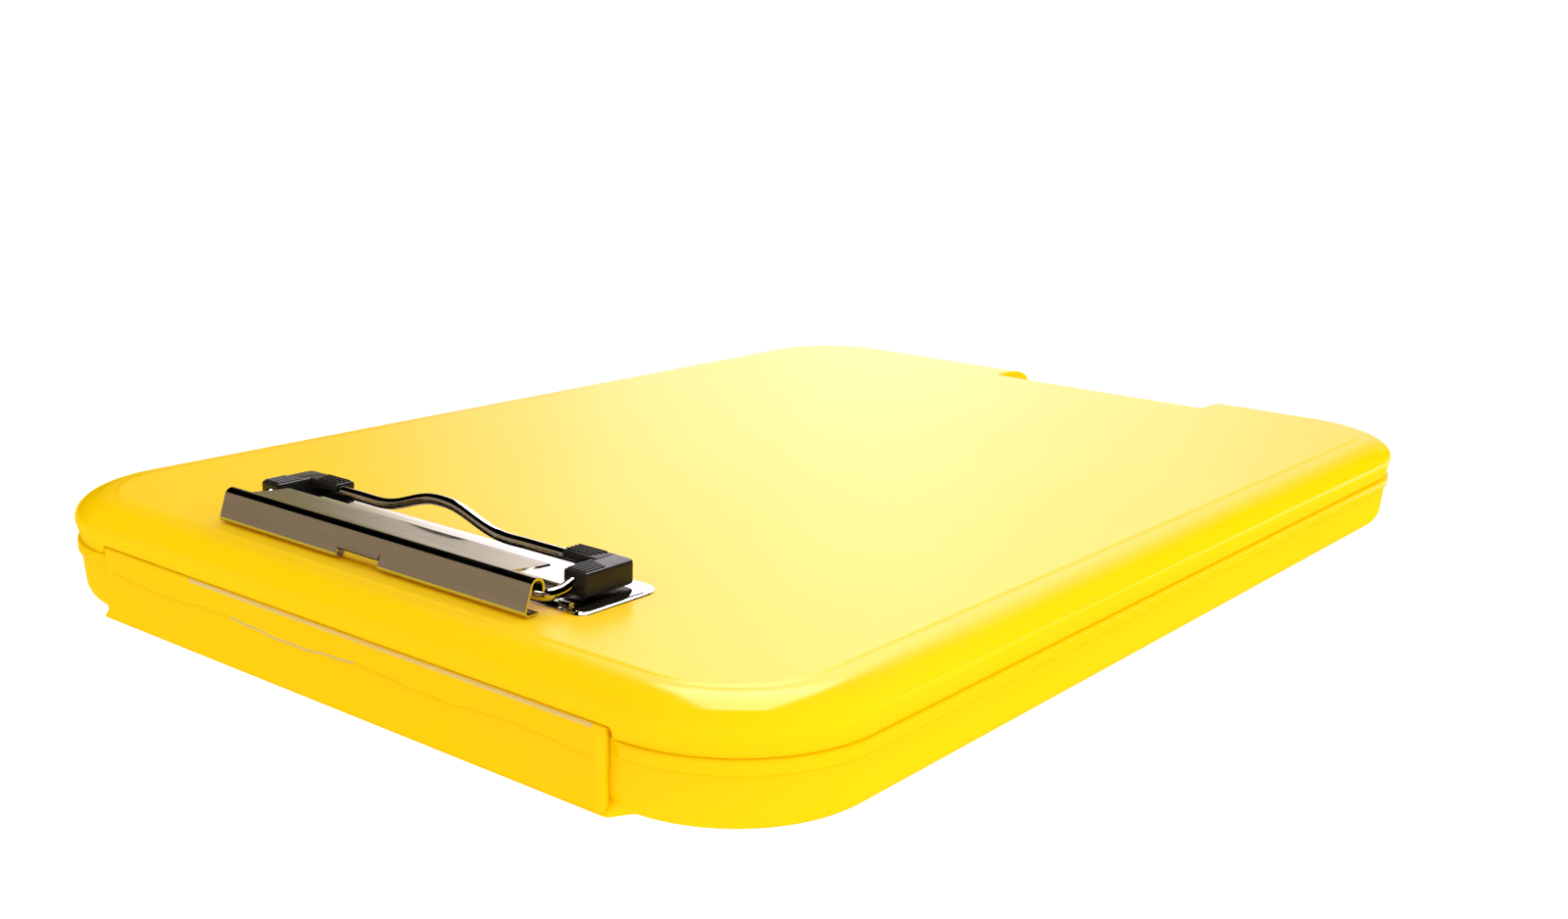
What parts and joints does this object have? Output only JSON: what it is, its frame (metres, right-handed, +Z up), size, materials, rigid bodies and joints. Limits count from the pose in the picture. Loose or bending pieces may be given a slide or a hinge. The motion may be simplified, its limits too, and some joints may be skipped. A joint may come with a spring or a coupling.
{
  "type": "storage clipboard",
  "caption": "Slim clamshell case for letter paper whose lid is a writing surface with a low wire clip and rubber corner grips; a wide creased spine hinges it and a tongue latches it.",
  "frame": {"origin": "centre of the closed case's footprint, on the surface it lies on", "axes": "+Z up out of the writing surface, +Y towards the latch end, -Y towards the hinge and the clip, +X to the right when the clip is nearest"},
  "size_m": [0.254, 0.35, 0.0388],
  "materials": {
    "case_plastic": "translucent frosted yellow polypropylene",
    "clip_chrome": "bright nickel or chrome plate",
    "clip_steel": "plated spring steel, satin to bright",
    "grip_rubber": "black moulded rubber with fine ribs"
  },
  "bodies": {
    "base": {"base_tray": "case_plastic"},
    "spine": {"hinge_spine": "case_plastic"},
    "lid": {"lid": "case_plastic", "clip_base_plate": "clip_chrome", "clip_cover": "clip_steel", "rivet_left": "clip_chrome", "rivet_right": "clip_chrome"},
    "bail": {"wire_bail": "clip_chrome", "grip_left": "grip_rubber", "grip_right": "grip_rubber"},
    "latch": {"latch_tongue": "case_plastic"}
  },
  "joints": [
    {"name": "spine_fold", "type": "hinge", "parent": "base", "child": "spine", "pos_m": [0, -0.175, 0], "axis": [1, 0, 0], "range_deg": [0, 90]},
    {"name": "lid_fold", "type": "hinge", "parent": "spine", "child": "lid", "pos_m": [0, -0.175, 0.01865], "axis": [1, 0, 0], "range_deg": [0, 90]},
    {"name": "bail_lift", "type": "hinge", "parent": "lid", "child": "bail", "pos_m": [-0.0043, -0.1516, 0.0304], "axis": [1, 0, 0], "range_deg": [0, 90]},
    {"name": "latch_flip", "type": "hinge", "parent": "lid", "child": "latch", "pos_m": [0.015, 0.175, 0.02035], "axis": [1, 0, 0], "range_deg": [0, 80]}
  ]
}
